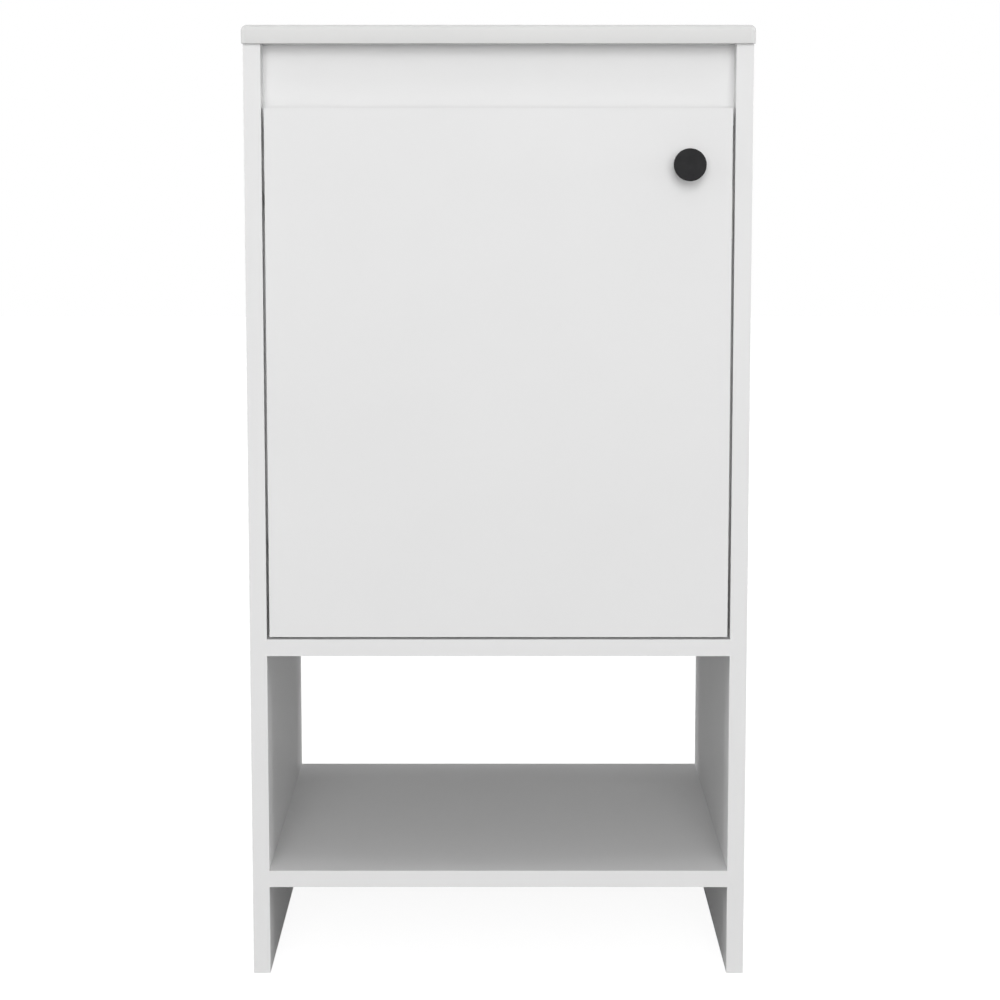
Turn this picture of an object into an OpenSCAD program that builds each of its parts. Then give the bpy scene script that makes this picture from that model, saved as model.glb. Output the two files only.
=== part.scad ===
// Bathroom vanity cabinet: a narrow board cabinet on two side panels, with a
// ceramic sink top, one inset door, an open bay and a low shelf.
// Millimetres. +Z is up, the door faces -Y, and the origin is on the floor
// at the middle of the whole object's footprint.

/* [Cabinet] */
// Width over the two side panels
body_w = 440; // [400:5:600]
// Depth of the side panels, front to back
body_d = 410; // [380:5:500]
// Height of the side panels
side_h = 826; // [780:2:900]
// Thickness of every board
board_t = 15; // [15:0.5:18]
// Thickness of the plastic edge bands
band_t = 0.5; // [0.4:0.1:1]
// Height of the cabinet floor's underside above the room floor
floor_z = 290; // [240:5:320]
// Height of the lower shelf's underside above the room floor
shelf_z = 79.5; // [60:0.5:120]

/* [Rails] */
// Height of the front and rear rails
rail_h = 70; // [64:1:90]
// Clearance between the front rail and the door's hinge edge as it swings
rail_clear = 1.4; // [1:0.1:6]
// Distance between the two wall fixing holes
wall_hole_gap = 300; // [200:5:340]
// Radius of a wall fixing hole
wall_hole_r = 3; // [2.5:0.25:4]

/* [Door] */
// Clearance left to the side panel as the door's front corner swings past
corner_clear = 0.46; // [0.4:0.02:1.4]
// Clearance between the door and the cabinet floor
door_foot_gap = 2.2; // [1.5:0.1:4]
// Height of the reveal above the door
reveal_h = 54.8; // [50:0.2:60]

/* [Knob] */
// Diameter of the knob's head
knob_d = 28; // [22:1:34]
// How far the knob stands out from the door
knob_stand = 25; // [20:1:32]
// Distance from the knob's centre to the door's free edge
knob_edge = 38; // [30:1:60]
// Distance from the knob's centre to the door's top edge
knob_drop = 48.3; // [40:0.1:80]

/* [Sink] */
// Height of the sink's rim above the side panels
lip_h = 16; // [14:1:24]
// How far the sink overhangs each side panel
lip_side = 1.5; // [0:0.5:5]
// How far the sink overhangs the panel fronts
lip_front = 5; // [0:0.5:10]
// Radius of the rim's top edge and corners
lip_r = 5; // [3:0.5:6]
// Wall of the ceramic
sink_wall = 8; // [7:0.5:10]
// Width of the basin at its top
basin_w = 350; // [300:5:360]
// Front to back size of the basin at its top
basin_d = 262; // [220:2:266]
// Depth of the basin below the deck
basin_depth = 105; // [90:5:130]
// Radius of the tap hole
tap_hole_r = 17.5; // [15:0.5:18]
// Radius of the drain hole
drain_hole_r = 22.5; // [20:0.5:24]

/* [Hinges] */
// Diameter of the hinge cup's bore in the door
cup_d = 35; // [35:1:36]
// Board left between the door's edge and the cup's bore
cup_edge = 5; // [4:0.5:6]
// Depth of the cup in the door
cup_depth = 12; // [11.5:0.1:12]
// Distance of the hinge pin inside the edge of the cup's bore
pin_reach = 6; // [6:0.1:7]
// Distance of the hinge pin in front of the door's back face
pin_inset = 8; // [7.8:0.1:8.2]
// Distance of each hinge's middle from the door's top or bottom edge
hinge_inset = 80; // [70:5:120]

/* [Hidden] */
$fn = 64;
eps = 0.01;
fit_gap = 0.05;

// Where the faces lie
front_y = (knob_stand - body_d) / 2;
back_y = front_y + body_d;
inner_w = body_w - 2 * board_t;
wall_x = inner_w / 2;
floor_top = floor_z + board_t;

// The door's swing about its pin: how far its front and back corners reach
pin_edge = cup_edge + pin_reach;
pin_depth = board_t - pin_inset;
front_swing = norm([pin_edge, pin_depth]);
back_swing = norm([pin_edge, pin_inset]);

// Door
door_side_gap = front_swing - pin_edge + corner_clear;
door_w = inner_w - 2 * door_side_gap;
door_left = -door_w / 2;
door_right = door_w / 2;
door_foot = floor_top + door_foot_gap;
door_top = side_h - reveal_h;
door_h = door_top - door_foot;
door_back_y = front_y + board_t;

// Board joints: a cam lock, its bolt and a dowel
cam_r = 7.5;
cam_deep = 12.5;
cam_inset = 24;
cam_groove = 2;
bolt_shank_r = 3.3;
bolt_bore_r = 3.6;
bolt_thread_r = 2.5;
panel_bore = 11;
bolt_in_panel = 10.5;
bolt_past_cam = 2;
dowel_r = 4;
dowel_in_panel = 10;
dowel_in_board = 20;
dowel_spare = 1;
joint_setback = 60;
joint_pitch = 32;
rail_split = 16;

// Knob
knob_head_t = 9;
knob_chamfer = 0.9;
knob_stem_r = 6;
knob_base_r = 8;
knob_base_t = 2;
screw_r = 2;
screw_bore_r = 2.25;
screw_grip = 12;
screw_head_r = 4;
screw_head_t = 2.4;
knob_x = door_right - knob_edge;
knob_z = door_top - knob_drop;

// Hinges
cup_wall = 1;
cup_r = cup_d / 2;
cup_x = door_left + cup_edge + cup_r;
flange_t = 1.2;
flange_w = 22;
flange_h = 62;
cup_screw_pitch = 48;
cup_screw_shift = 6;
pin_r = 1.5;
pin_x = door_left + pin_edge;
pin_half = sqrt(pow(cup_r, 2) - pow(cup_x - pin_x + pin_r, 2)) - fit_gap;
pin_y = front_y + pin_depth;
hinge_zs = [door_foot + hinge_inset, door_top - hinge_inset];
arm_w = 12;
arm_t = 3;
eye_r = 2.4;
arm_reach = 21;
arm_gap = 0.4;
arm_clear_y = pin_depth + back_swing + arm_gap + arm_t / 2;
arm_foot_end = 60;
plate_t = 4;
plate_y = front_y + 52;
plate_len = 46;
plate_h = 44;
plate_screw_pitch = 32;
plate_screw_r = 2.5;
plate_screw_len = 14;
arm_screw_y = front_y + 62;
arm_screw_len = 6;
small_head_r = 3.6;
small_head_t = 1.8;
cup_screw_r = 1.75;
cup_screw_len = 13;

// Magnetic catch
catch_h = 46;
catch_deep = 14;
catch_out = 14;
catch_z = door_top - 90;
keeper_t = 1.5;
keeper_w = 11;
keeper_h = 36;
keeper_gap = 0.3;
catch_y = door_back_y + keeper_t + keeper_gap;
magnet_h = 24;
magnet_w = 8;
magnet_deep = 8;
catch_screw_pitch = 34;
catch_screw_r = 1.75;
catch_screw_bite = 11;
keeper_screw_r = 1.5;
keeper_screw_len = 10;
keeper_head_r = 2.8;
keeper_head_t = 1;
keeper_x = door_right - 1.5 - keeper_w / 2;

// Sink
rim_w = 12;
rim_drop = 4;
sink_w = body_w + 2 * lip_side;
sink_d = body_d + lip_front;
sink_y = front_y - lip_front;
sink_top_z = side_h + lip_h;
deck_z = sink_top_z - rim_drop;
basin_front = 62;
basin_y = front_y + basin_front + basin_d / 2;
basin_corner_r = 50;
basin_foot_r = 40;
basin_taper = 24;
basin_foot_z = deck_z - basin_depth;
tap_y = back_y - 45;
facets = 32;

// Board joints, each [side, y, z, turn]: side is -1 left or 1 right, and turn
// is the angle about X that takes the cam's mouth from the underside
// (0) to the board's rear face (90) or front face (-90).
rail_recess = pin_depth + back_swing + rail_clear;
front_rail_y = front_y + rail_recess + board_t / 2;
rear_rail_y = back_y - board_t / 2;
top_rail_mid = side_h - rail_h / 2;
low_rail_mid = floor_top + rail_h / 2;
sides = [-1, 1];
floor_joints = [for (s = sides, y = [front_y + joint_setback, back_y - joint_setback])
    [s, y, floor_z + board_t / 2, 0]];
shelf_joints = [for (s = sides, y = [front_y + joint_setback, back_y - joint_setback])
    [s, y, shelf_z + board_t / 2, 0]];
front_rail_joints = [for (s = sides) [s, front_rail_y, top_rail_mid + rail_split / 2, 90]];
rear_top_joints = [for (s = sides) [s, rear_rail_y, top_rail_mid + rail_split / 2, -90]];
rear_low_joints = [for (s = sides) [s, rear_rail_y, low_rail_mid + rail_split / 2, -90]];
joints = concat(floor_joints, shelf_joints, front_rail_joints, rear_top_joints, rear_low_joints);

// How far a joint's dowel stands from its cam, towards the board's middle
function dowel_step(j) = j[3] == 0 ? [0, j[1] < 0 ? joint_pitch : -joint_pitch, 0]
    : [0, 0, -joint_pitch];

// Puts a shape drawn for the right side at a joint: the board's end is at
// x = 0, the board runs to -x and the side panel to +x.
module at_joint(j) {
    translate([j[0] * wall_x, j[1], j[2]])
        rotate([j[3], 0, 0])
            mirror([j[0] < 0 ? 1 : 0, 0, 0])
                children();
}

module at_dowel(j) {
    translate(dowel_step(j)) at_joint(j) children();
}

// A rod of radius r along x, from x = a to x = b
module x_rod(r, a, b) {
    translate([a, 0, 0]) rotate([0, 90, 0]) cylinder(r = r, h = b - a);
}

// A rod of radius r along y, from y = a to y = b
module y_rod(r, a, b) {
    translate([0, a, 0]) rotate([-90, 0, 0]) cylinder(r = r, h = b - a);
}

module board_bores(js) {
    for (j = js) {
        at_joint(j) {
            translate([-cam_inset, 0, -board_t / 2 - eps]) cylinder(r = cam_r, h = cam_deep + eps);
            x_rod(bolt_bore_r, -cam_inset, eps);
        }
        at_dowel(j) x_rod(dowel_r, -dowel_in_board - dowel_spare, eps);
    }
}

module panel_bores(side) {
    for (j = joints) {
        if (j[0] == side) {
            at_joint(j) x_rod(bolt_thread_r, -eps, panel_bore);
            at_dowel(j) x_rod(dowel_r, -eps, panel_bore);
        }
    }
}

module side_board(side) {
    x0 = side < 0 ? -body_w / 2 : wall_x;
    translate([x0, front_y + band_t, 0]) cube([board_t, body_d - band_t, side_h]);
}

module left_side_panel() {
    color("whitesmoke") difference() {
        side_board(-1);
        panel_bores(-1);
        for (z = hinge_zs, k = sides) {
            translate([-wall_x, plate_y, z + k * plate_screw_pitch / 2])
                x_rod(plate_screw_r, -panel_bore, eps);
        }
    }
}

module right_side_panel() {
    color("whitesmoke") difference() {
        side_board(1);
        panel_bores(1);
        for (k = sides) {
            translate([wall_x, catch_y + catch_deep / 2, catch_z + k * catch_screw_pitch / 2])
                x_rod(catch_screw_r, -eps, panel_bore);
        }
    }
}

module side_edge_bands() {
    color("white") for (x = [-body_w / 2, wall_x]) {
        translate([x, front_y, 0]) cube([board_t, band_t, side_h]);
    }
}

module flat_board(z, js) {
    difference() {
        translate([-wall_x, front_y + band_t, z]) cube([inner_w, body_d - band_t, board_t]);
        board_bores(js);
    }
}

module cabinet_floor() {
    color("whitesmoke") flat_board(floor_z, floor_joints);
}

module lower_shelf() {
    color("whitesmoke") flat_board(shelf_z, shelf_joints);
}

module shelf_edge_bands() {
    color("white") for (z = [floor_z, shelf_z]) {
        translate([-wall_x, front_y, z]) cube([inner_w, band_t, board_t]);
    }
}

// A rail whose middle plane is at y and whose lower edge is at z
module rail(y, z, h, js) {
    difference() {
        translate([-wall_x, y - board_t / 2, z]) cube([inner_w, board_t, h]);
        board_bores(js);
    }
}

module front_rail() {
    color("whitesmoke")
        rail(front_rail_y, side_h - rail_h + band_t, rail_h - band_t, front_rail_joints);
}

module rail_edge_band() {
    color("white") translate([-wall_x, front_rail_y - board_t / 2, side_h - rail_h])
        cube([inner_w, board_t, band_t]);
}

module rear_top_rail() {
    color("whitesmoke") difference() {
        rail(rear_rail_y, side_h - rail_h, rail_h, rear_top_joints);
        for (k = sides) {
            translate([k * wall_hole_gap / 2, rear_rail_y, top_rail_mid])
                y_rod(wall_hole_r, -board_t, board_t);
        }
    }
}

module rear_lower_rail() {
    color("whitesmoke") rail(rear_rail_y, floor_top, rail_h, rear_low_joints);
}

// Cam housing: a drum with a window for the bolt's head and a cross slot
module cam_locks() {
    color("silver") for (j = joints) {
        at_joint(j) translate([-cam_inset, 0, -board_t / 2]) difference() {
            cylinder(r = cam_r - fit_gap, h = cam_deep - fit_gap);
            translate([0, 0, board_t / 2]) x_rod(bolt_bore_r, -bolt_past_cam - 1, cam_r + 1);
            for (a = [0, 90]) {
                rotate([0, 0, a]) translate([-cam_r / 2, -cam_groove / 2, -eps])
                    cube([cam_r, cam_groove, cam_groove]);
            }
        }
    }
}

module cam_bolts() {
    color("gray") for (j = joints) {
        at_joint(j) {
            x_rod(bolt_thread_r - fit_gap, -eps, bolt_in_panel);
            x_rod(bolt_shank_r, -cam_inset - bolt_past_cam, 0);
        }
    }
}

module dowels() {
    color("burlywood") for (j = joints) {
        at_dowel(j) x_rod(dowel_r - fit_gap, -dowel_in_board, dowel_in_panel);
    }
}

// Four upright corner posts of radius r, hulled by the caller
module corner_posts(w, d, r, h) {
    for (x = [r - w / 2, w / 2 - r], y = [r - d / 2, d / 2 - r]) {
        translate([x, y, 0]) cylinder(r = r, h = h, $fn = facets);
    }
}

module corner_balls(w, d, r) {
    for (x = [r - w / 2, w / 2 - r], y = [r - d / 2, d / 2 - r]) {
        translate([x, y, 0]) sphere(r = r, $fn = facets);
    }
}

// A bowl with soft lower corners. grow is 0 for the hollow and the wall for its outside.
module bowl(grow, top_z) {
    hull() {
        translate([0, basin_y, top_z - 1])
            corner_posts(basin_w + 2 * grow, basin_d + 2 * grow, basin_corner_r + grow, 1);
        translate([0, basin_y, basin_foot_z + basin_foot_r])
            corner_balls(basin_w - 2 * basin_taper + 2 * grow,
                basin_d - 2 * basin_taper + 2 * grow, basin_foot_r + grow);
    }
}

module sink_slab() {
    translate([0, sink_y + sink_d / 2, 0]) hull() {
        translate([0, 0, side_h]) corner_posts(sink_w, sink_d, lip_r, 1);
        translate([0, 0, sink_top_z - lip_r]) corner_balls(sink_w, sink_d, lip_r);
    }
}

module sink_top() {
    color("white") difference() {
        union() {
            sink_slab();
            bowl(sink_wall, side_h + 1);
        }
        translate([0, sink_y + sink_d / 2, deck_z]) hull()
            corner_posts(sink_w - 2 * rim_w, sink_d - 2 * rim_w, rim_w, lip_h);
        bowl(0, deck_z + 1);
        translate([0, tap_y, side_h - 1]) cylinder(r = tap_hole_r, h = lip_h);
        translate([0, basin_y, basin_foot_z - sink_wall - 1])
            cylinder(r = drain_hole_r, h = sink_wall + 2);
    }
}

module at_hinges() {
    for (z = hinge_zs) {
        translate([0, 0, z]) children();
    }
}

module door_panel() {
    color("whitesmoke") difference() {
        translate([door_left + band_t, front_y, door_foot + band_t])
            cube([door_w - 2 * band_t, board_t, door_h - 2 * band_t]);
        at_hinges() {
            translate([cup_x, door_back_y, 0]) y_rod(cup_r, -cup_depth, eps);
            for (k = sides) {
                translate([cup_x + cup_screw_shift, door_back_y, k * cup_screw_pitch / 2])
                    y_rod(cup_screw_r, -panel_bore, eps);
            }
        }
        translate([knob_x, front_y, knob_z]) y_rod(screw_bore_r, -eps, board_t + eps);
        translate([keeper_x, door_back_y, catch_z]) y_rod(keeper_screw_r, -keeper_screw_len, eps);
    }
}

module door_edge_bands() {
    color("white") difference() {
        translate([door_left, front_y, door_foot]) cube([door_w, board_t, door_h]);
        translate([door_left + band_t, front_y - 1, door_foot + band_t])
            cube([door_w - 2 * band_t, board_t + 2, door_h - 2 * band_t]);
    }
}

module knob() {
    head_r = knob_d / 2;
    color([0.2, 0.2, 0.2]) translate([knob_x, front_y, knob_z]) rotate([90, 0, 0]) difference() {
        rotate_extrude() polygon([
            [0, 0],
            [knob_base_r, 0],
            [knob_base_r, knob_base_t],
            [knob_stem_r, knob_base_t + 2],
            [knob_stem_r, knob_stand - knob_head_t - 2],
            [head_r - 2, knob_stand - knob_head_t],
            [head_r, knob_stand - knob_head_t + 1.5],
            [head_r, knob_stand - knob_chamfer],
            [head_r - knob_chamfer, knob_stand],
            [0, knob_stand]
        ]);
        translate([0, 0, -eps]) cylinder(r = screw_r, h = screw_grip + 1);
    }
}

module knob_screw() {
    color("silver") translate([knob_x, front_y, knob_z]) difference() {
        union() {
            y_rod(screw_r - fit_gap, -screw_grip, board_t);
            y_rod(screw_head_r, board_t, board_t + screw_head_t);
        }
        for (a = [0, 90]) {
            translate([0, board_t + screw_head_t, 0]) rotate([0, a, 0])
                cube([screw_head_r, 2, 0.8], center = true);
        }
    }
}

module hinge_cups() {
    color("silver") at_hinges() translate([cup_x, door_back_y, 0]) difference() {
        union() {
            y_rod(cup_r - fit_gap, -cup_depth, 0);
            translate([-flange_w / 2 + cup_screw_shift - 3, 0, -flange_h / 2])
                cube([flange_w, flange_t, flange_h]);
            y_rod(cup_r + 1, 0, flange_t);
        }
        y_rod(cup_r - cup_wall, cup_wall - cup_depth, flange_t + eps);
        translate([pin_x - cup_x, pin_y - door_back_y, -cup_r])
            cylinder(r = pin_r + fit_gap, h = cup_d);
        for (k = sides) {
            translate([cup_screw_shift, 0, k * cup_screw_pitch / 2])
                y_rod(cup_screw_r + 0.3, -eps, flange_t + eps);
        }
    }
}

module hinge_pins() {
    color("gray") at_hinges() translate([pin_x, pin_y, -pin_half])
        cylinder(r = pin_r, h = 2 * pin_half);
}

// A pan head screw along y: its shank runs to -y and its head stands on y = 0
module y_screw(r, len, head_r, head_t) {
    difference() {
        union() {
            y_rod(r, -len, eps);
            y_rod(head_r, 0, head_t);
        }
        for (a = [0, 90]) {
            translate([0, head_t, 0]) rotate([0, a, 0]) cube([head_r, 1, 0.7], center = true);
        }
    }
}

module cup_screws() {
    color("silver") at_hinges() for (k = sides) {
        translate([cup_x + cup_screw_shift, door_back_y + flange_t, k * cup_screw_pitch / 2])
            y_screw(cup_screw_r - fit_gap, cup_screw_len - flange_t - panel_bore / 4,
                small_head_r, small_head_t);
    }
}

// A flat bar with round ends between two points of a plane
module bar2d(p, q, w) {
    run = norm(q - p);
    for (c = [p, q]) {
        translate(c) circle(d = w);
    }
    translate(p) rotate(atan2(q[1] - p[1], q[0] - p[0])) translate([0, -w / 2]) square([run, w]);
}

// The arm's side outline: an eye on the pin, a leg inside the cup, a riser out
// of its mouth, a leg back over the door's edge and a foot along the panel
module arm_outline() {
    eye = [pin_x, pin_y];
    toe = [pin_x + arm_reach, pin_y];
    bend = [pin_x + arm_reach, front_y + arm_clear_y];
    foot_x = -wall_x + plate_t + arm_t / 2;
    heel = [foot_x, front_y + arm_clear_y];
    tail = [foot_x, front_y + arm_clear_y + arm_foot_end - arm_t];
    translate(eye) circle(r = eye_r);
    bar2d(eye, toe, arm_t);
    bar2d(toe, bend, arm_t);
    bar2d(bend, heel, arm_t);
    bar2d(heel, tail, arm_t);
}

module hinge_arms() {
    color("silver") at_hinges() difference() {
        translate([0, 0, -arm_w / 2]) linear_extrude(arm_w) arm_outline();
        translate([pin_x, pin_y, -arm_w]) cylinder(r = pin_r + fit_gap, h = 2 * arm_w);
        translate([-wall_x + plate_t, arm_screw_y, 0]) x_rod(screw_bore_r, -1, arm_t + 1);
    }
}

module hinge_plates() {
    color("gainsboro") at_hinges() difference() {
        union() {
            translate([-wall_x, front_y + 34, -arm_w / 2 - 1])
                cube([plate_t, plate_len, arm_w + 2]);
            translate([-wall_x, plate_y - 6, -plate_h / 2]) cube([plate_t / 2, 12, plate_h]);
        }
        translate([-wall_x, arm_screw_y, 0]) x_rod(screw_r, -eps, plate_t + eps);
        for (k = sides) {
            translate([-wall_x, plate_y, k * plate_screw_pitch / 2])
                x_rod(plate_screw_r + 0.1, -eps, plate_t);
        }
    }
}

// A pan head screw along x: its shank runs to -x and its head stands on x = 0
module x_screw(r, len, head_r, head_t) {
    rotate([0, 0, -90]) y_screw(r, len, head_r, head_t);
}

module arm_screws() {
    color("silver") at_hinges() translate([-wall_x + plate_t + arm_t, arm_screw_y, 0])
        x_screw(screw_r - fit_gap, arm_screw_len, small_head_r, small_head_t);
}

module plate_screws() {
    color("silver") at_hinges() for (k = sides) {
        translate([-wall_x + plate_t / 2, plate_y, k * plate_screw_pitch / 2])
            x_screw(plate_screw_r - fit_gap, plate_screw_len - plate_t, small_head_r, small_head_t);
    }
}

module magnetic_catch() {
    color("white") translate([wall_x - catch_out, catch_y, catch_z]) difference() {
        translate([0, 0, -catch_h / 2]) cube([catch_out, catch_deep, catch_h]);
        translate([catch_out / 2 - magnet_w / 2, -eps, -magnet_h / 2])
            cube([magnet_w, magnet_deep + eps, magnet_h]);
        for (k = sides) {
            translate([0, catch_deep / 2, k * catch_screw_pitch / 2])
                x_rod(catch_screw_r + 0.2, -eps, catch_out + eps);
        }
    }
}

module catch_magnet() {
    color("dimgray") translate([wall_x - catch_out / 2 - magnet_w / 2, catch_y, catch_z - magnet_h / 2])
        cube([magnet_w, magnet_deep, magnet_h]);
}

module catch_screws() {
    color("silver") for (k = sides) {
        translate([wall_x - catch_out, catch_y + catch_deep / 2, catch_z + k * catch_screw_pitch / 2])
            mirror([1, 0, 0])
                x_screw(catch_screw_r - fit_gap, catch_out + catch_screw_bite - 1,
                    small_head_r, small_head_t);
    }
}

module catch_plate() {
    color("gray") translate([keeper_x, door_back_y, catch_z]) difference() {
        translate([-keeper_w / 2, 0, -keeper_h / 2]) cube([keeper_w, keeper_t, keeper_h]);
        y_rod(keeper_screw_r + 0.1, -eps, keeper_t + eps);
        y_rod(keeper_head_r + fit_gap, keeper_t - keeper_head_t, keeper_t + eps);
    }
}

module catch_plate_screw() {
    color("silver") translate([keeper_x, door_back_y + keeper_t - keeper_head_t, catch_z])
        y_screw(keeper_screw_r - fit_gap, keeper_screw_len - 1, keeper_head_r, keeper_head_t);
}

left_side_panel();
right_side_panel();
side_edge_bands();
cabinet_floor();
lower_shelf();
shelf_edge_bands();
front_rail();
rail_edge_band();
rear_top_rail();
rear_lower_rail();
cam_locks();
cam_bolts();
dowels();
sink_top();
door_panel();
door_edge_bands();
knob();
knob_screw();
hinge_cups();
hinge_pins();
cup_screws();
hinge_arms();
hinge_plates();
arm_screws();
plate_screws();
magnetic_catch();
catch_magnet();
catch_screws();
catch_plate();
catch_plate_screw();
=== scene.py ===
"""Looks for the bathroom vanity cabinet: finishes, the glazed sink, the knob, light and camera."""
import math

import bmesh
import bpy
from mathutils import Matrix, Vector


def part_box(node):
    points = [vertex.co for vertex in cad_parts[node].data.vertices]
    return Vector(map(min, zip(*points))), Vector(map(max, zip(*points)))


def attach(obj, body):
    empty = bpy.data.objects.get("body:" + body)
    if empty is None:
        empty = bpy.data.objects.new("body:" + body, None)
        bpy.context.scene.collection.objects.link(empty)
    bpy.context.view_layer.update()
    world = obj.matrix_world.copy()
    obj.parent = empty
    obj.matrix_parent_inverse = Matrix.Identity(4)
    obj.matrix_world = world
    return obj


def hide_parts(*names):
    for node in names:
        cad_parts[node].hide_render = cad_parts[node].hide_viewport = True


MM = 0.001

# Camera, seen from the front of the cabinet
CAMERA_DISTANCE = 2.3793
CAMERA_HEIGHT = 0.7623
CAMERA_PITCH = 7.539
CAMERA_LENS = 98.37
CAMERA_SHIFT_X = 0.0016
CAMERA_SHIFT_Y = -0.02

# Light on the object, and how the room behind it shows
SKY_FRONT = 0.50
SKY_BACK = 0.04
LIGHTS = [
    # name, azimuth, elevation, width in degrees, strength
    ("front_light", 0, 6, 34, 1.88),
    ("high_front_light", 0, 24, 20, 0.4),
    ("top_light", 0, 88, 40, 0.3),
    ("left_light", -90, 8, 20, 1.2),
    ("right_light", 90, 8, 20, 1.2),
    ("back_light", 180, 1.5, 6, 1.5),
]
FLOOR_ALBEDO = 0.35
FLOOR_FILL = 0.90
FLOOR_REACH = 8.0
FLOOR_GAP = 0.0005

# How strongly the white facing, its edge band and the knob's coat mirror the room
BOARD_GLOSS = 0.01
BAND_GLOSS = 0.02
KNOB_GLOSS = 0.10

# Sink sizes in millimetres that the CAD node's box can't give
RIM_W = 12
RIM_DROP = 4
RIM_R = 5
BASIN_TOP = (350, 262, 50)
BASIN_FOOT = (222, 134)
BASIN_FOOT_R = 40
FOOT_CORNER_R = 0.6
FLOOR_CORNER_R = 30
BASIN_MID_Y = 0.5
BASIN_LEAN = 19.4
SINK_WALL = 8
DECK_T = 12
LIP_R = 9
COVE_R = 2.2
CREST_R = 1.6
LOWER_R = 0.8
DRAIN_R = 22.5
TAP_R = 17.5
TAP_INSET = 45

# The dish around the drain: how far beyond its edge, and how far below the basin's floor
DRAIN_DISH = [(0, 2.5), (0.4, 1.6), (1.6, 1.2), (7, 0.9), (10, 0.2), (12, 0)]

# How finely the sink's rings are cut, and the steepest edge in degrees that is shaded smooth
CORNER_STEPS = 14
EDGE_STEPS = 18
SMOOTH_BELOW = 35

# Knob sizes in millimetres
KNOB_HEAD_T = 9
KNOB_STEM_R = 6
KNOB_BASE_R = 8
KNOB_BASE_T = 2


# ---------------------------------------------------------------- materials

def new_material(name):
    """An empty node material: returns it with its node tree and its shader."""
    material = bpy.data.materials.new(name)
    material.use_nodes = True
    tree = material.node_tree
    return material, tree, tree.nodes["Principled BSDF"]


def node(tree, kind, **values):
    """A node of that kind, with its sockets (by name) and properties set."""
    made = tree.nodes.new(kind)
    for name, value in values.items():
        label = name.replace("_", " ")
        if label in made.inputs:
            made.inputs[label].default_value = value
        else:
            setattr(made, name, value)
    return made


def object_coords(tree, scale=(1, 1, 1)):
    """Object coordinates in metres, stretched along the axes."""
    coords = node(tree, "ShaderNodeTexCoord")
    mapping = node(tree, "ShaderNodeMapping")
    mapping.inputs["Scale"].default_value = scale
    tree.links.new(coords.outputs["Object"], mapping.inputs["Vector"])
    return mapping.outputs["Vector"]


def noise(tree, vector, scale, detail=2.0, roughness=0.5):
    """Plain noise, 0 to 1, with scale features a metre."""
    made = node(tree, "ShaderNodeTexNoise", Scale=scale, Detail=detail, Roughness=roughness)
    tree.links.new(vector, made.inputs["Vector"])
    return made.outputs["Fac"]


def ramp(tree, fac, low, high, low_at=0.0, high_at=1.0):
    """Two colours spread over a factor."""
    made = node(tree, "ShaderNodeValToRGB")
    made.color_ramp.elements[0].position = low_at
    made.color_ramp.elements[0].color = (*low, 1)
    made.color_ramp.elements[1].position = high_at
    made.color_ramp.elements[1].color = (*high, 1)
    tree.links.new(fac, made.inputs["Fac"])
    return made.outputs["Color"]


def span(tree, fac, low, high):
    """A 0 to 1 factor mapped onto low to high."""
    made = node(tree, "ShaderNodeMapRange")
    made.inputs["To Min"].default_value = low
    made.inputs["To Max"].default_value = high
    tree.links.new(fac, made.inputs["Value"])
    return made.outputs["Result"]


def bump(tree, height, distance, strength=1.0):
    """A bump whose full height is the distance, in metres."""
    made = node(tree, "ShaderNodeBump", Strength=strength, Distance=distance)
    tree.links.new(height, made.inputs["Height"])
    return made.outputs["Normal"]


def math_node(tree, operation, first, second=None):
    """A maths node on one or two sockets or numbers."""
    made = node(tree, "ShaderNodeMath", operation=operation)
    for socket, value in zip(made.inputs, (first, second)):
        if value is None:
            continue
        if isinstance(value, (int, float)):
            socket.default_value = value
        else:
            tree.links.new(value, socket)
    return made.outputs[0]


def mix_colour(tree, fac, first, second):
    """Blends two colour sockets by a factor."""
    made = node(tree, "ShaderNodeMix", data_type="RGBA")
    tree.links.new(fac, made.inputs["Factor"])
    tree.links.new(first, made.inputs[6])
    tree.links.new(second, made.inputs[7])
    return made.outputs[2]


def mix_value(tree, fac, first, second):
    """Blends two number sockets by a factor."""
    made = node(tree, "ShaderNodeMix", data_type="FLOAT")
    tree.links.new(fac, made.inputs["Factor"])
    tree.links.new(first, made.inputs[2])
    tree.links.new(second, made.inputs[3])
    return made.outputs[0]


def mix_vector(tree, fac, first, second):
    """Blends two vector sockets by a factor."""
    made = node(tree, "ShaderNodeMix", data_type="VECTOR")
    tree.links.new(fac, made.inputs["Factor"])
    tree.links.new(first, made.inputs[4])
    tree.links.new(second, made.inputs[5])
    return made.outputs[1]


def raw_faces(tree, axes):
    """1 on the faces that look along the given object axes, where the core of the board is bare."""
    coords = node(tree, "ShaderNodeTexCoord")
    split = node(tree, "ShaderNodeSeparateXYZ")
    tree.links.new(coords.outputs["Normal"], split.inputs["Vector"])
    total = 0.0
    for axis in axes:
        size = math_node(tree, "ABSOLUTE", split.outputs[axis.upper()])
        total = math_node(tree, "ADD", math_node(tree, "GREATER_THAN", size, 0.9), total)
    return math_node(tree, "MINIMUM", total, 1.0)


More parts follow.
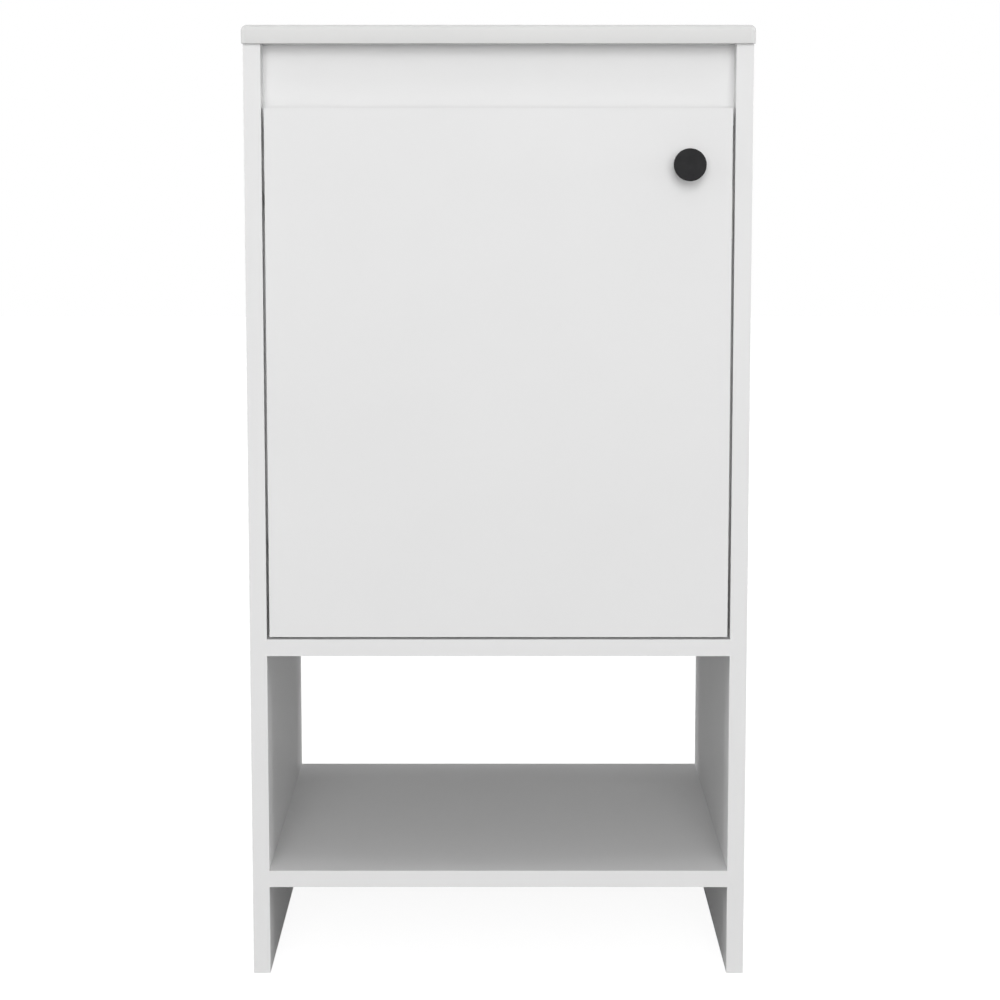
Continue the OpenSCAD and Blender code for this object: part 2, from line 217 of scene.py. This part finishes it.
def chipboard(tree):
    """Bare particle board: pressed chips and fibres. Returns its colour, roughness and normal."""
    stretched = object_coords(tree, (1, 1, 2.4))
    chips = node(tree, "ShaderNodeTexVoronoi", Scale=420.0)
    tree.links.new(stretched, chips.inputs["Vector"])
    fibre = noise(tree, stretched, 700.0, 4.0, 0.7)
    chip_tone = math_node(tree, "ADD", math_node(tree, "MULTIPLY", chips.outputs["Color"], 0.6), 0.5)
    tone = math_node(tree, "MULTIPLY", math_node(tree, "ADD", chip_tone, fibre), 0.6)
    colour = ramp(tree, tone, (0.25, 0.16, 0.085), (0.62, 0.47, 0.30), 0.25, 0.85)
    relief = math_node(tree, "ADD", chips.outputs["Distance"], fibre)
    return colour, span(tree, fibre, 0.75, 0.95), bump(tree, relief, 0.0003, 0.6)


def board_material(name, tint, axes=""):
    """White melamine facing with a fine pearl texture; bare particle board on the named faces."""
    material, tree, shader = new_material(name)
    vector = object_coords(tree)
    cloud = noise(tree, vector, 9.0, 3.0)
    pearl = noise(tree, vector, 900.0, 2.0, 0.6)
    dim = tuple(c * 0.992 for c in tint)
    bright = tuple(c * 1.006 for c in tint)
    facing = ramp(tree, cloud, dim, bright, 0.3, 0.7)
    rough = span(tree, noise(tree, vector, 60.0, 2.0), 0.48, 0.56)
    skin_normal = bump(tree, pearl, 0.00003, 0.35)
    shader.inputs["Specular IOR Level"].default_value = BOARD_GLOSS
    if not axes:
        tree.links.new(facing, shader.inputs["Base Color"])
        tree.links.new(rough, shader.inputs["Roughness"])
        tree.links.new(skin_normal, shader.inputs["Normal"])
        return material
    mask = raw_faces(tree, axes)
    core, core_rough, core_normal = chipboard(tree)
    tree.links.new(mix_colour(tree, mask, facing, core), shader.inputs["Base Color"])
    tree.links.new(mix_value(tree, mask, rough, core_rough), shader.inputs["Roughness"])
    tree.links.new(mix_vector(tree, mask, skin_normal, core_normal), shader.inputs["Normal"])
    return material


def edge_band_material(tint):
    """Plastic edge band: the board's white, a little smoother, with faint milling ripples."""
    material, tree, shader = new_material("edge_band")
    vector = object_coords(tree)
    cloud = noise(tree, vector, 14.0, 2.0)
    facing = ramp(tree, cloud, tuple(c * 0.994 for c in tint), tint, 0.3, 0.7)
    tree.links.new(facing, shader.inputs["Base Color"])
    tree.links.new(span(tree, noise(tree, vector, 80.0), 0.42, 0.50), shader.inputs["Roughness"])
    tree.links.new(bump(tree, noise(tree, vector, 700.0), 0.00003, 0.3), shader.inputs["Normal"])
    shader.inputs["Specular IOR Level"].default_value = BAND_GLOSS
    return material


def ceramic_material():
    """White glaze: a soft body under a clear coat, with the faint waviness of fired glaze."""
    material, tree, shader = new_material("white_glaze")
    vector = object_coords(tree)
    cloud = noise(tree, vector, 6.0, 3.0)
    tree.links.new(ramp(tree, cloud, (0.66, 0.66, 0.655), (0.68, 0.68, 0.675), 0.3, 0.7),
                   shader.inputs["Base Color"])
    tree.links.new(span(tree, noise(tree, vector, 45.0, 3.0), 0.16, 0.24), shader.inputs["Roughness"])
    tree.links.new(bump(tree, noise(tree, vector, 30.0, 2.0), 0.0004, 0.10), shader.inputs["Normal"])
    shader.inputs["Coat Weight"].default_value = 0.25
    shader.inputs["Coat Roughness"].default_value = 0.05
    return material


def knob_material():
    """Matte black powder coat: fine orange peel, and a slightly mottled tone."""
    material, tree, shader = new_material("black_powder_coat")
    vector = object_coords(tree)
    grain = noise(tree, vector, 2200.0, 3.0, 0.65)
    cloud = noise(tree, vector, 90.0, 3.0)
    tree.links.new(ramp(tree, cloud, (0.020, 0.020, 0.021), (0.030, 0.030, 0.031), 0.3, 0.75),
                   shader.inputs["Base Color"])
    tree.links.new(span(tree, grain, 0.46, 0.62), shader.inputs["Roughness"])
    tree.links.new(bump(tree, grain, 0.00005, 0.5), shader.inputs["Normal"])
    shader.inputs["Specular IOR Level"].default_value = KNOB_GLOSS
    return material


def metal_material(name, tone, rough_low, rough_high, stretch=(1, 1, 1), scale=900.0, depth=0.00003):
    """Plated or cast metal with grain stretched along one axis, and mottled gloss."""
    material, tree, shader = new_material(name)
    vector = object_coords(tree, stretch)
    grain = noise(tree, vector, scale, 4.0, 0.6)
    cloud = noise(tree, object_coords(tree), 70.0, 3.0)
    tree.links.new(ramp(tree, cloud, tuple(c * 0.86 for c in tone), tone, 0.3, 0.7),
                   shader.inputs["Base Color"])
    tree.links.new(span(tree, grain, rough_low, rough_high), shader.inputs["Roughness"])
    tree.links.new(bump(tree, grain, depth, 0.5), shader.inputs["Normal"])
    shader.inputs["Metallic"].default_value = 1.0
    return material


def beech_material():
    """Plain beech: pale brown with short dark flecks along the grain."""
    material, tree, shader = new_material("beech")
    vector = object_coords(tree, (1, 9, 9))
    grain = noise(tree, vector, 120.0, 5.0, 0.6)
    tree.links.new(ramp(tree, grain, (0.42, 0.26, 0.13), (0.70, 0.52, 0.33), 0.3, 0.7),
                   shader.inputs["Base Color"])
    tree.links.new(span(tree, grain, 0.6, 0.8), shader.inputs["Roughness"])
    tree.links.new(bump(tree, grain, 0.0001, 0.5), shader.inputs["Normal"])
    return material


def plastic_material(name, low, high, rough_low, rough_high):
    """Moulded plastic with fine spark-eroded texture."""
    material, tree, shader = new_material(name)
    vector = object_coords(tree)
    grain = noise(tree, vector, 1500.0, 2.0)
    tree.links.new(ramp(tree, noise(tree, vector, 40.0, 2.0), low, high, 0.3, 0.7),
                   shader.inputs["Base Color"])
    tree.links.new(span(tree, grain, rough_low, rough_high), shader.inputs["Roughness"])
    tree.links.new(bump(tree, grain, 0.00004, 0.4), shader.inputs["Normal"])
    return material


def dress(obj, material):
    """Gives an object one material in all its slots."""
    if not obj.data.materials:
        obj.data.materials.append(material)
    for index in range(len(obj.data.materials)):
        obj.data.materials[index] = material


# ---------------------------------------------------------------- pieces

def smooth(mesh, below):
    """Shades a mesh smooth, except over edges that turn by that many degrees or more."""
    for face in mesh.polygons:
        face.use_smooth = True
    mesh.set_sharp_from_angle(angle=math.radians(below))


def finish_mesh(name, bm, material, smooth_below=SMOOTH_BELOW):
    """Turns a bmesh into a piece that is smooth across gentle edges."""
    bmesh.ops.recalc_face_normals(bm, faces=bm.faces)
    mesh = bpy.data.meshes.new(name)
    bm.to_mesh(mesh)
    bm.free()
    piece = bpy.data.objects.new(name, mesh)
    bpy.context.scene.collection.objects.link(piece)
    smooth(mesh, smooth_below)
    dress(piece, material)
    return piece


def box_ring(width, depth, radius):
    """A rounded rectangle, counter-clockwise, as (x, y) in millimetres."""
    points = []
    half_w, half_d = width / 2 - radius, depth / 2 - radius
    corners = [(half_w, half_d, 0), (-half_w, half_d, 90), (-half_w, -half_d, 180), (half_w, -half_d, 270)]
    for index, (cx, cy, start) in enumerate(corners):
        for step in range(CORNER_STEPS + 1):
            angle = math.radians(start + 90 * step / CORNER_STEPS)
            points.append((cx + radius * math.cos(angle), cy + radius * math.sin(angle)))
        next_x, next_y = corners[(index + 1) % 4][:2]
        angle = math.radians(start + 90)
        x, y = points[-1]
        run_x = next_x + radius * math.cos(angle) - x
        run_y = next_y + radius * math.sin(angle) - y
        for step in range(1, EDGE_STEPS):
            share = step / EDGE_STEPS
            points.append((x + run_x * share, y + run_y * share))
    return points


def round_ring(radius):
    """A circle with as many points as box_ring, and its corners at the same places."""
    points = []
    corner_span, edge_span = 56, 34
    for quarter in range(4):
        start = 90 * quarter + edge_span / 2
        for step in range(CORNER_STEPS + 1):
            angle = math.radians(start + corner_span * step / CORNER_STEPS)
            points.append((radius * math.cos(angle), radius * math.sin(angle)))
        for step in range(1, EDGE_STEPS):
            angle = math.radians(start + corner_span + edge_span * step / EDGE_STEPS)
            points.append((radius * math.cos(angle), radius * math.sin(angle)))
    return points


def loft(rings):
    """Skins rings of (points, centre_y, z), all in millimetres, with quads, and joins last to first."""
    bm = bmesh.new()
    rows = []
    for points, centre_y, z in rings:
        rows.append([bm.verts.new((x * MM, (y + centre_y) * MM, z * MM)) for x, y in points])
    count = len(rows[0])
    for low, high in zip(rows, rows[1:] + rows[:1]):
        for i in range(count):
            j = (i + 1) % count
            bm.faces.new((low[i], low[j], high[j], high[i]))
    return bm


def arc(start, end, steps):
    """Angles in radians from start to end degrees, both included."""
    return [math.radians(start + (end - start) * step / steps) for step in range(steps + 1)]


def corner_ring(foot_z, grow, slope):
    """One ring of the basin's rounded foot, where its wall slopes so many radians from upright."""
    radius = BASIN_FOOT_R + grow
    reach = radius * math.cos(slope)
    points = box_ring(BASIN_FOOT[0] + 2 * reach, BASIN_FOOT[1] + 2 * reach, max(reach, FOOT_CORNER_R))
    return points, BASIN_MID_Y, foot_z - radius * math.sin(slope)


def floor_ring(z):
    """A ring on the basin's flat floor, between the drain and the rounded foot."""
    share = 0.75
    return box_ring(BASIN_FOOT[0] * share, BASIN_FOOT[1] * share, FLOOR_CORNER_R), BASIN_MID_Y, z


def basin_rings(foot_z, deck):
    """The inside of the basin: the dished drain, the floor, the rounded foot and the lip."""
    floor_z = foot_z - BASIN_FOOT_R
    rings = []
    for beyond, drop in DRAIN_DISH:
        rings.append((round_ring(DRAIN_R + beyond), BASIN_MID_Y, floor_z - drop))
    rings.append(floor_ring(floor_z))
    for slope in arc(88, BASIN_LEAN, 14):
        rings.append(corner_ring(foot_z, 0, slope))
    width, depth, radius = BASIN_TOP
    for angle in arc(8, 90, 9):
        out = LIP_R * (1 - math.cos(angle))
        points = box_ring(width - 4 + 2 * out, depth - 4 + 2 * out, radius + out)
        rings.append((points, BASIN_MID_Y, deck - LIP_R + LIP_R * math.sin(angle)))
    return rings


def rim_rings(width, depth, mid_y, deck, top):
    """The deck's edge, the raised rim and the sink's outside down to its lower edge."""
    inner_w, inner_d = width - 2 * RIM_W, depth - 2 * RIM_W
    flat = 2 * COVE_R + 6
    rings = [(box_ring(inner_w - flat, inner_d - flat, RIM_W + 2), mid_y, deck)]
    for angle in arc(0, 80, 5):
        inset = COVE_R * (1 - math.sin(angle))
        points = box_ring(inner_w - 2 * inset, inner_d - 2 * inset, RIM_W)
        rings.append((points, mid_y, deck + COVE_R * (1 - math.cos(angle))))
    for angle in arc(10, 90, 5):
        grow = CREST_R * (1 - math.cos(angle))
        points = box_ring(inner_w + 2 * grow, inner_d + 2 * grow, RIM_W + grow)
        rings.append((points, mid_y, top - CREST_R + CREST_R * math.sin(angle)))
    for angle in arc(90, 0, 10):
        grow = RIM_R * (math.cos(angle) - 1)
        points = box_ring(width + 2 * grow, depth + 2 * grow, RIM_R + grow + 0.01)
        rings.append((points, mid_y, top - RIM_R + RIM_R * math.sin(angle)))
    for angle in arc(0, 90, 4):
        grow = LOWER_R * (math.cos(angle) - 1)
        points = box_ring(width + 2 * grow, depth + 2 * grow, RIM_R + grow)
        rings.append((points, mid_y, deck - DECK_T + LOWER_R - LOWER_R * math.sin(angle)))
    return rings


def underside_rings(foot_z, base):
    """The slab's underside, and the outside of the basin down to the drain."""
    width, depth, radius = BASIN_TOP
    width, depth, radius = width + 2 * SINK_WALL, depth + 2 * SINK_WALL, radius + SINK_WALL
    rings = [
        (box_ring(width + 8, depth + 6, radius + 4), BASIN_MID_Y, base),
        (box_ring(width - 0.6, depth - 0.6, radius), BASIN_MID_Y, base - 1.5),
    ]
    for slope in arc(BASIN_LEAN, 88, 12):
        rings.append(corner_ring(foot_z, SINK_WALL, slope))
    bottom = foot_z - BASIN_FOOT_R - SINK_WALL
    rings.append(floor_ring(bottom))
    rings.append((round_ring(DRAIN_R + 6), BASIN_MID_Y, bottom))
    rings.append((round_ring(DRAIN_R), BASIN_MID_Y, bottom))
    return rings


def sink_rings(low, high):
    """The sink's rings, from the drain up the basin, over the rim and back under to the drain."""
    width, depth = (high.x - low.x) / MM, (high.y - low.y) / MM
    mid_y = (high.y + low.y) / 2 / MM
    top = high.z / MM
    deck = top - RIM_DROP
    foot_z = low.z / MM + BASIN_FOOT_R + SINK_WALL
    rings = basin_rings(foot_z, deck)
    rings += rim_rings(width, depth, mid_y, deck, top)
    rings += underside_rings(foot_z, deck - DECK_T)
    return rings


def tap_cutter(tap_y, deck, material):
    """A pin that cuts the tap hole, flared where the glaze rounds over its edge."""
    ease = 1.2
    profile = [(0, deck + 6), (TAP_R + 5 + ease, deck + 5)]
    for angle in arc(80, 0, 5):
        profile.append((TAP_R + ease * (1 - math.cos(angle)), deck - ease + ease * math.sin(angle)))
    profile += [(TAP_R, deck - DECK_T - 2), (0, deck - DECK_T - 2)]
    cutter = finish_mesh("tap_cutter", lathe(profile, 64), material)
    cutter.location = (0, tap_y, 0)
    return cutter


def make_sink(material):
    """The glazed sink top as one closed skin, with the tap hole cut through its deck."""
    low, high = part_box("sink_top")
    sink = finish_mesh("glazed_sink", loft(sink_rings(low, high)), material)
    cutter = tap_cutter(high.y - TAP_INSET * MM, high.z / MM - RIM_DROP, material)
    cut = sink.modifiers.new("tap_hole", "BOOLEAN")
    cut.operation = "DIFFERENCE"
    cut.solver = "EXACT"
    cut.object = cutter
    bpy.context.view_layer.update()
    done = sink.evaluated_get(bpy.context.evaluated_depsgraph_get())
    mesh = bpy.data.meshes.new_from_object(done)
    sink.modifiers.clear()
    sink.data = mesh
    bpy.data.objects.remove(cutter)
    smooth(mesh, SMOOTH_BELOW)
    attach(sink, "cabinet")
    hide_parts("sink_top")
    return sink


def lathe(profile, steps):
    """A solid of revolution about Z from (radius, z) points in millimetres, ends on the axis."""
    bm = bmesh.new()
    rows = []
    for radius, z in profile:
        if radius == 0:
            rows.append([bm.verts.new((0, 0, z * MM))])
            continue
        row = []
        for step in range(steps):
            turn = math.tau * step / steps
            row.append(bm.verts.new((radius * MM * math.cos(turn), radius * MM * math.sin(turn), z * MM)))
        rows.append(row)
    for low, high in zip(rows, rows[1:]):
        for i in range(steps):
            j = (i + 1) % steps
            if len(low) == 1:
                bm.faces.new((low[0], high[j], high[i]))
            elif len(high) == 1:
                bm.faces.new((low[i], low[j], high[0]))
            else:
                bm.faces.new((low[i], low[j], high[j], high[i]))
    return bm


def rounded(corner, before, after, radius, steps=4):
    """Points of an arc that rounds a profile's corner between its two neighbours."""
    corner, before, after = Vector(corner), Vector(before), Vector(after)
    one, two = (before - corner).normalized(), (after - corner).normalized()
    half = one.angle(two) / 2
    reach = radius / math.tan(half)
    centre = corner + (one + two).normalized() * radius / math.sin(half)
    first = corner + one * reach - centre
    turn = first.angle_signed(corner + two * reach - centre)
    points = []
    for step in range(steps + 1):
        angle = -turn * step / steps
        c, s = math.cos(angle), math.sin(angle)
        points.append((centre.x + first.x * c - first.y * s, centre.y + first.x * s + first.y * c))
    return points


def make_knob(material):
    """The round knob, turned with eased edges, standing out of the door along -Y."""
    low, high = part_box("knob")
    head_r = (high.x - low.x) / 2 / MM
    stand = (high.y - low.y) / MM
    under = stand - KNOB_HEAD_T
    outline = [
        (0, 0), (KNOB_BASE_R, 0), (KNOB_BASE_R, KNOB_BASE_T), (KNOB_STEM_R, KNOB_BASE_T + 2),
        (KNOB_STEM_R, under - 2), (head_r - 2, under), (head_r, under + 1.5),
        (head_r, stand - 1.0), (head_r - 1.0, stand), (0, stand),
    ]
    easing = [0, 0.1, 0.6, 1.5, 2.5, 0.8, 0.8, 0.35, 0.35, 0]
    profile = []
    for index, (point, ease) in enumerate(zip(outline, easing)):
        if ease == 0:
            profile.append(point)
        else:
            profile += rounded(point, outline[index - 1], outline[index + 1], ease)
    knob = finish_mesh("turned_knob", lathe(profile, 96), material, 25)
    knob.rotation_euler = (math.radians(90), 0, 0)
    knob.location = ((low.x + high.x) / 2, high.y, (low.z + high.z) / 2)
    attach(knob, "door")
    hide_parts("knob")
    return knob


def soften(obj, width):
    """Eases the sharp edges of a plain board or band."""
    bevel = obj.modifiers.new("eased_edges", "BEVEL")
    bevel.width = width
    bevel.segments = 2
    bevel.limit_method = "ANGLE"
    bevel.angle_limit = math.radians(60)
    bevel.harden_normals = False


# ---------------------------------------------------------------- stage

def make_floor():
    """A pale floor that keeps the object's soft shadow and is white where nothing shades it."""
    mesh = bpy.data.meshes.new("floor")
    reach = FLOOR_REACH
    corners = [(-reach, -reach, 0), (reach, -reach, 0), (reach, reach, 0), (-reach, reach, 0)]
    mesh.from_pydata(corners, [], [(0, 1, 2, 3)])
    floor = bpy.data.objects.new("floor", mesh)
    bpy.context.scene.collection.objects.link(floor)
    floor.location.z = -FLOOR_GAP
    material = bpy.data.materials.new("pale_floor")
    material.use_nodes = True
    tree = material.node_tree
    tree.nodes.clear()
    out = node(tree, "ShaderNodeOutputMaterial")
    diffuse = node(tree, "ShaderNodeBsdfDiffuse")
    diffuse.inputs["Color"].default_value = (FLOOR_ALBEDO, FLOOR_ALBEDO, FLOOR_ALBEDO, 1)
    glow = node(tree, "ShaderNodeEmission")
    path = node(tree, "ShaderNodeLightPath")
    seen = math_node(tree, "MAXIMUM", path.outputs["Is Camera Ray"], path.outputs["Is Glossy Ray"])
    seen = math_node(tree, "MAXIMUM", seen, path.outputs["Is Transmission Ray"])
    tree.links.new(math_node(tree, "MULTIPLY", seen, FLOOR_FILL), glow.inputs["Strength"])
    both = node(tree, "ShaderNodeAddShader")
    tree.links.new(diffuse.outputs[0], both.inputs[0])
    tree.links.new(glow.outputs[0], both.inputs[1])
    tree.links.new(both.outputs[0], out.inputs["Surface"])
    mesh.materials.append(material)


def make_world():
    """Grey light on the object, stronger from its front; white where the camera or a reflection looks."""
    world = bpy.data.worlds.new("studio")
    bpy.context.scene.world = world
    world.use_nodes = True
    tree = world.node_tree
    background = tree.nodes["Background"]
    background.inputs["Color"].default_value = (1, 1, 1, 1)
    path = node(tree, "ShaderNodeLightPath")
    seen = math_node(tree, "MAXIMUM", path.outputs["Is Camera Ray"], path.outputs["Is Glossy Ray"])
    seen = math_node(tree, "MAXIMUM", seen, path.outputs["Is Transmission Ray"])
    coords = node(tree, "ShaderNodeTexCoord")
    split = node(tree, "ShaderNodeSeparateXYZ")
    tree.links.new(coords.outputs["Generated"], split.inputs["Vector"])
    side = node(tree, "ShaderNodeMapRange")
    side.inputs["From Min"].default_value = -1
    side.inputs["To Min"].default_value = SKY_FRONT
    side.inputs["To Max"].default_value = SKY_BACK
    tree.links.new(split.outputs["Y"], side.inputs["Value"])
    level = math_node(tree, "MAXIMUM", side.outputs["Result"], seen)
    tree.links.new(level, background.inputs["Strength"])


def soft_sun(name, azimuth, elevation, spread, strength):
    """Even light from one side: azimuth 0 is the front, 90 the right; spread is its width in degrees."""
    data = bpy.data.lights.new(name, "SUN")
    data.energy = strength
    data.angle = math.radians(spread)
    lamp = bpy.data.objects.new(name, data)
    bpy.context.scene.collection.objects.link(lamp)
    turn, rise = math.radians(azimuth), math.radians(elevation)
    toward = Vector((math.sin(turn) * math.cos(rise), -math.cos(turn) * math.cos(rise), math.sin(rise)))
    lamp.rotation_euler = toward.to_track_quat("Z", "Y").to_euler()
    lamp.visible_glossy = False
    return lamp


def make_lamps():
    """All of the lights, as LIGHTS lists them."""
    for name, azimuth, elevation, spread, strength in LIGHTS:
        soft_sun(name, azimuth, elevation, spread, strength)


def make_camera(front_y):
    """The camera, in front of the cabinet's front edges and looking slightly down."""
    data = bpy.data.cameras.new("camera")
    data.lens = CAMERA_LENS
    data.sensor_width = 36
    data.shift_x = CAMERA_SHIFT_X
    data.shift_y = CAMERA_SHIFT_Y
    camera = bpy.data.objects.new("camera", data)
    bpy.context.scene.collection.objects.link(camera)
    camera.location = (0, front_y - CAMERA_DISTANCE, CAMERA_HEIGHT)
    camera.rotation_euler = (math.radians(90 - CAMERA_PITCH), 0, 0)
    bpy.context.scene.camera = camera


# ---------------------------------------------------------------- build

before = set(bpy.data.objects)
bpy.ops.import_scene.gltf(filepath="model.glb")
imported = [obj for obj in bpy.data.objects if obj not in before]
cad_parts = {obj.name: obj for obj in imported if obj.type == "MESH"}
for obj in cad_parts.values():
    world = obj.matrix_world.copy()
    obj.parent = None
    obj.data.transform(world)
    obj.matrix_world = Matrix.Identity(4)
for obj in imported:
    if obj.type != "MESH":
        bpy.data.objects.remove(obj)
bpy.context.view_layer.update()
front_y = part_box("side_edge_bands")[0].y

BOARD_TINT = (0.79, 0.79, 0.79)
# The front rail's tint is the board's white made darker: painted shade on the recessed rail, a shaded copy
# of the same melamine
RAIL_SHADED_TINT = (0.77, 0.77, 0.77)
BAND_EASE = 0.25
# The object axes along which each board's faces are bare particle board
RAW_FACES = {
    "left_side_panel": "yz", "right_side_panel": "yz", "cabinet_floor": "yx", "lower_shelf": "yx",
    "front_rail": "xz", "rear_top_rail": "xz", "rear_lower_rail": "xz", "door_panel": "",
}
for name, axes in RAW_FACES.items():
    tint = RAIL_SHADED_TINT if name == "front_rail" else BOARD_TINT
    dress(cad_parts[name], board_material(f"{name}_board", tint, axes))

band = edge_band_material(BOARD_TINT)
for name in ("side_edge_bands", "shelf_edge_bands", "rail_edge_band", "door_edge_bands"):
    dress(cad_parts[name], band)
    soften(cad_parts[name], BAND_EASE * MM)

nickel = metal_material("nickel_plate", (0.66, 0.65, 0.63), 0.22, 0.34, (1, 1, 8), 500.0)
zinc = metal_material("cast_zinc", (0.52, 0.52, 0.53), 0.42, 0.58, (1, 1, 1), 900.0, 0.0001)
screw_steel = metal_material("zinc_plated_screw", (0.70, 0.69, 0.66), 0.26, 0.40, (1, 1, 1), 1300.0)
METAL_NODES = {
    "hinge_cups": nickel, "hinge_arms": nickel, "hinge_plates": nickel, "hinge_pins": screw_steel,
    "catch_plate": nickel, "cam_locks": zinc, "cam_bolts": screw_steel, "knob_screw": screw_steel,
    "cup_screws": screw_steel, "arm_screws": screw_steel, "plate_screws": screw_steel,
    "catch_screws": screw_steel, "catch_plate_screw": screw_steel,
}
for name, metal in METAL_NODES.items():
    dress(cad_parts[name], metal)
dress(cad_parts["dowels"], beech_material())
dress(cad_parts["magnetic_catch"],
      plastic_material("catch_plastic", (0.74, 0.74, 0.72), (0.79, 0.79, 0.77), 0.42, 0.55))
dress(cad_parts["catch_magnet"],
      plastic_material("ferrite", (0.045, 0.045, 0.05), (0.075, 0.075, 0.08), 0.55, 0.75))

make_sink(ceramic_material())
make_knob(knob_material())

make_floor()
make_world()
make_lamps()
make_camera(front_y)
bpy.context.scene.view_settings.view_transform = "Standard"
